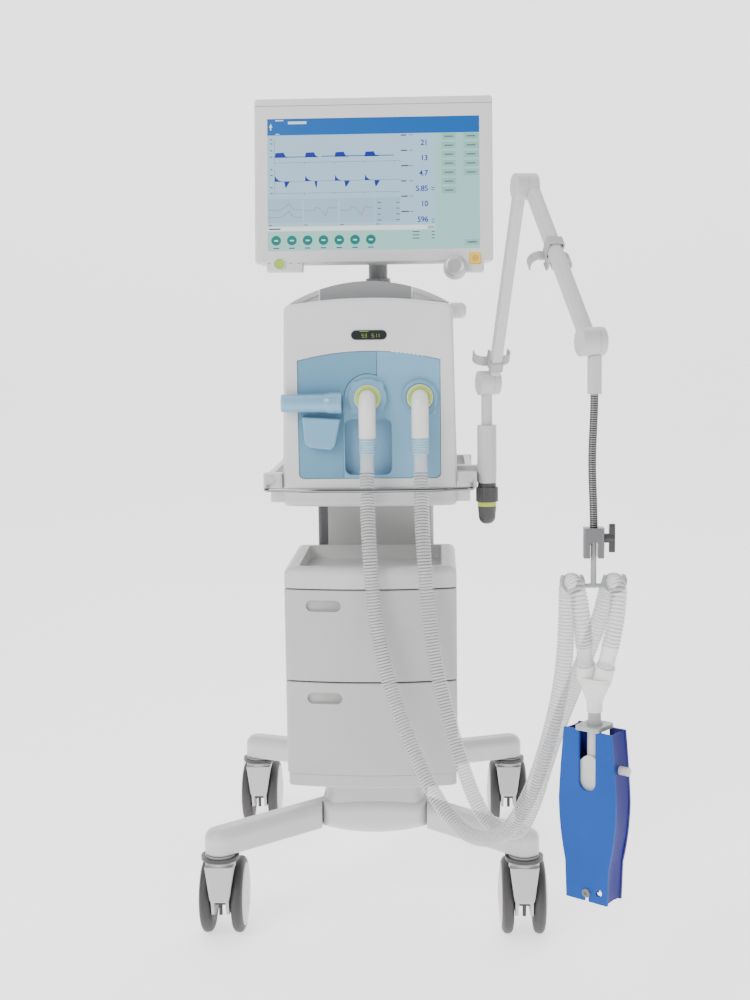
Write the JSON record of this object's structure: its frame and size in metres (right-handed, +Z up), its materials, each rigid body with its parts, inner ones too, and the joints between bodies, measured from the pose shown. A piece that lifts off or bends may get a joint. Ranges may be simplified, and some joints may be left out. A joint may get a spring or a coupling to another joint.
{
  "type": "mechanical ventilator on trolley",
  "caption": "Intensive care ventilator on a cabinet trolley with a tilting touch display, jointed hose support arm, corrugated breathing hoses and a test lung.",
  "frame": {"origin": "on the floor, under the middle of the rigid object (without the hoses and test lung)", "axes": "+Z up, the front of the trolley faces -Y, +X to the right seen from the front"},
  "size_m": [0.6632, 1.0018, 1.3877],
  "materials": {
    "white_plastic": "satin",
    "pale_grey_plastic": "satin",
    "grey_plastic": "satin",
    "dark_plastic": "matte",
    "warm_grey_metal": "satin",
    "white_metal": "satin",
    "chrome": "polished",
    "steel": "brushed",
    "aluminium": "satin",
    "blue_plastic": "gloss",
    "blue_clear": "gloss",
    "black_glass": "gloss",
    "yellow_plastic": "gloss",
    "green_plastic": "gloss",
    "tyre": "matte",
    "grey_clip": "satin",
    "hose_clear": "ribbed",
    "lung_blue": "matte",
    "bag_rubber": "matte"
  },
  "bodies": {
    "trolley": {"base_legs": "warm_grey_metal", "base_hub": "warm_grey_metal", "cabinet_shell": "warm_grey_metal", "cabinet_tray": "white_plastic", "power_unit": "dark_plastic", "mast_column": "warm_grey_metal", "platform": "pale_grey_plastic", "side_rails": "warm_grey_metal", "front_handle_bar": "chrome", "unit_case": "white_plastic", "rear_panel": "pale_grey_plastic", "blue_panel": "blue_plastic", "port_collar_right": "blue_clear", "port_elbows": "white_plastic", "carry_handle": "pale_grey_plastic", "status_display": "black_glass", "gas_mixer_and_blower": "dark_plastic", "arm_clamp": "dark_plastic", "hose_left": "hose_clear", "hose_right": "hose_clear"},
    "drawer_upper_body": {"drawer_upper": "pale_grey_plastic"},
    "drawer_lower_body": {"drawer_lower": "pale_grey_plastic"},
    "flap_body": {"blue_flap": "blue_clear", "exhaust_port": "blue_clear", "water_trap": "blue_clear"},
    "valve_ring_body": {"valve_lock_ring": "blue_clear"},
    "display_neck_body": {"monitor_neck": "warm_grey_metal"},
    "display_body": {"monitor_shell": "white_plastic", "monitor_bezel": "white_plastic", "screen": "black_glass"},
    "display_knob_body": {"monitor_knob": "dark_plastic"},
    "alarm_button_body": {"alarm_button": "yellow_plastic"},
    "power_button_body": {"power_button": "green_plastic"},
    "arm_post_body": {"arm_post": "steel"},
    "release_knob_body": {"release_knob": "dark_plastic"},
    "lower_arm_body": {"lower_arm": "white_metal", "lower_arm_clips": "grey_clip"},
    "upper_arm_body": {"upper_arm": "white_metal", "upper_arm_clips": "grey_clip"},
    "end_link_body": {"end_link": "white_metal", "gooseneck": "steel", "fork_clamp": "aluminium"},
    "wing_screw_body": {"wing_screw": "dark_plastic"},
    "hanger_body": {"hanger": "grey_clip", "y_piece": "white_plastic", "lung_front_plate": "lung_blue", "lung_bag": "bag_rubber"},
    "lung_rear_body": {"lung_rear_plate": "lung_blue"},
    "caster_front_left_body": {"caster_front_left_yoke": "grey_plastic"},
    "caster_front_left_wheels_body": {"caster_front_left_wheels": "tyre"},
    "caster_front_left_brake_body": {"caster_front_left_brake_ring": "dark_plastic"},
    "caster_front_right_body": {"caster_front_right_yoke": "grey_plastic"},
    "caster_front_right_wheels_body": {"caster_front_right_wheels": "tyre"},
    "caster_front_right_brake_body": {"caster_front_right_brake_ring": "dark_plastic"},
    "caster_rear_left_body": {"caster_rear_left_yoke": "grey_plastic"},
    "caster_rear_left_wheels_body": {"caster_rear_left_wheels": "tyre"},
    "caster_rear_left_brake_body": {"caster_rear_left_brake_ring": "dark_plastic"},
    "caster_rear_right_body": {"caster_rear_right_yoke": "grey_plastic"},
    "caster_rear_right_wheels_body": {"caster_rear_right_wheels": "tyre"},
    "caster_rear_right_brake_body": {"caster_rear_right_brake_ring": "dark_plastic"}
  },
  "joints": [
    {"name": "caster_front_left_swivel", "type": "hinge", "parent": "trolley", "child": "caster_front_left_body", "pos_m": [-0.28898, -0.16472, 0.14], "axis": [0, 0, 1], "continuous": true},
    {"name": "caster_front_left_roll", "type": "hinge", "parent": "caster_front_left_body", "child": "caster_front_left_wheels_body", "pos_m": [-0.28898, -0.12472, 0.0625], "axis": [1, 0, 0], "continuous": true},
    {"name": "caster_front_left_brake", "type": "slide", "parent": "caster_front_left_body", "child": "caster_front_left_brake_body", "axis": [0, 0, -1], "range_m": [0, 0.005]},
    {"name": "caster_front_right_swivel", "type": "hinge", "parent": "trolley", "child": "caster_front_right_body", "pos_m": [0.20502, -0.16472, 0.14], "axis": [0, 0, 1], "continuous": true},
    {"name": "caster_front_right_roll", "type": "hinge", "parent": "caster_front_right_body", "child": "caster_front_right_wheels_body", "pos_m": [0.20502, -0.12472, 0.0625], "axis": [1, 0, 0], "continuous": true},
    {"name": "caster_front_right_brake", "type": "slide", "parent": "caster_front_right_body", "child": "caster_front_right_brake_body", "axis": [0, 0, -1], "range_m": [0, 0.005]},
    {"name": "caster_rear_left_swivel", "type": "hinge", "parent": "trolley", "child": "caster_rear_left_body", "pos_m": [-0.28898, 0.37728, 0.14], "axis": [0, 0, 1], "continuous": true},
    {"name": "caster_rear_left_roll", "type": "hinge", "parent": "caster_rear_left_body", "child": "caster_rear_left_wheels_body", "pos_m": [-0.28898, 0.41728, 0.0625], "axis": [1, 0, 0], "continuous": true},
    {"name": "caster_rear_left_brake", "type": "slide", "parent": "caster_rear_left_body", "child": "caster_rear_left_brake_body", "axis": [0, 0, -1], "range_m": [0, 0.005]},
    {"name": "caster_rear_right_swivel", "type": "hinge", "parent": "trolley", "child": "caster_rear_right_body", "pos_m": [0.20502, 0.37728, 0.14], "axis": [0, 0, 1], "continuous": true},
    {"name": "caster_rear_right_roll", "type": "hinge", "parent": "caster_rear_right_body", "child": "caster_rear_right_wheels_body", "pos_m": [0.20502, 0.41728, 0.0625], "axis": [1, 0, 0], "continuous": true},
    {"name": "caster_rear_right_brake", "type": "slide", "parent": "caster_rear_right_body", "child": "caster_rear_right_brake_body", "axis": [0, 0, -1], "range_m": [0, 0.005]},
    {"name": "drawer_upper_slide", "type": "slide", "parent": "trolley", "child": "drawer_upper_body", "axis": [0, -1, 0], "range_m": [0, 0.2]},
    {"name": "drawer_lower_slide", "type": "slide", "parent": "trolley", "child": "drawer_lower_body", "axis": [0, -1, 0], "range_m": [0, 0.2]},
    {"name": "flap_hinge", "type": "hinge", "parent": "trolley", "child": "flap_body", "pos_m": [-0.09198, -0.04122, 0.938], "axis": [-1, 0, 0], "range_deg": [0, 90]},
    {"name": "valve_ring_turn", "type": "hinge", "parent": "trolley", "child": "valve_ring_body", "pos_m": [-0.04398, -0.04772, 0.88], "axis": [0, -1, 0], "range_deg": [-40, 40]},
    {"name": "display_swivel", "type": "hinge", "parent": "trolley", "child": "display_neck_body", "pos_m": [-0.03398, 0.20628, 1.085], "axis": [0, 0, 1], "range_deg": [-60, 60]},
    {"name": "display_tilt", "type": "hinge", "parent": "display_neck_body", "child": "display_body", "pos_m": [-0.03398, 0.20628, 1.24], "axis": [1, 0, 0], "range_deg": [-20, 5]},
    {"name": "display_knob_turn", "type": "hinge", "parent": "display_body", "child": "display_knob_body", "pos_m": [0.10302, 0.09947, 1.09535], "axis": [0, -0.9907, 0.1357], "continuous": true},
    {"name": "alarm_button_press", "type": "slide", "parent": "display_body", "child": "alarm_button_body", "axis": [0, 0.9907, -0.1357], "range_m": [0, 0.0015], "stiffness_N_per_m": 600, "springref_m": -0.001},
    {"name": "power_button_press", "type": "slide", "parent": "display_body", "child": "power_button_body", "axis": [0, 0.9907, -0.1357], "range_m": [0, 0.0015], "stiffness_N_per_m": 600, "springref_m": -0.001},
    {"name": "arm_post_swivel", "type": "hinge", "parent": "trolley", "child": "arm_post_body", "pos_m": [0.15202, -0.02372, 0.8], "axis": [0, 0, 1], "range_deg": [-45, 60], "deforming": ["hose_left", "hose_right"]},
    {"name": "release_knob_turn", "type": "hinge", "parent": "trolley", "child": "release_knob_body", "pos_m": [0.15202, -0.02372, 0.7], "axis": [0, 0, 1], "range_deg": [0, 90]},
    {"name": "lower_knuckle", "type": "hinge", "parent": "arm_post_body", "child": "lower_arm_body", "pos_m": [0.1548, -0.02292, 0.9015], "axis": [-0.9613, -0.2756, 0], "range_deg": [-5, 25]},
    {"name": "upper_knuckle", "type": "hinge", "parent": "lower_arm_body", "child": "upper_arm_body", "pos_m": [0.20492, -0.19768, 1.20408], "axis": [-0.9613, -0.2756, 0], "range_deg": [-6, 40]},
    {"name": "end_knuckle", "type": "hinge", "parent": "upper_arm_body", "child": "end_link_body", "pos_m": [0.27902, -0.45609, 0.97529], "axis": [-0.9613, -0.2756, 0], "range_deg": [-10, 60]},
    {"name": "wing_screw_turn", "type": "hinge", "parent": "end_link_body", "child": "wing_screw_body", "pos_m": [0.30382, -0.45609, 0.70629], "axis": [1, 0, 0], "continuous": true},
    {"name": "hanger_swivel", "type": "hinge", "parent": "end_link_body", "child": "hanger_body", "pos_m": [0.28382, -0.45609, 0.7], "axis": [0, 0, 1], "range_deg": [-40, 40]},
    {"name": "lung_plate_hinge", "type": "hinge", "parent": "hanger_body", "child": "lung_rear_body", "pos_m": [0.29572, -0.46374, 0.207], "axis": [-0.788, 0.6157, 0], "range_deg": [0, 10]}
  ]
}
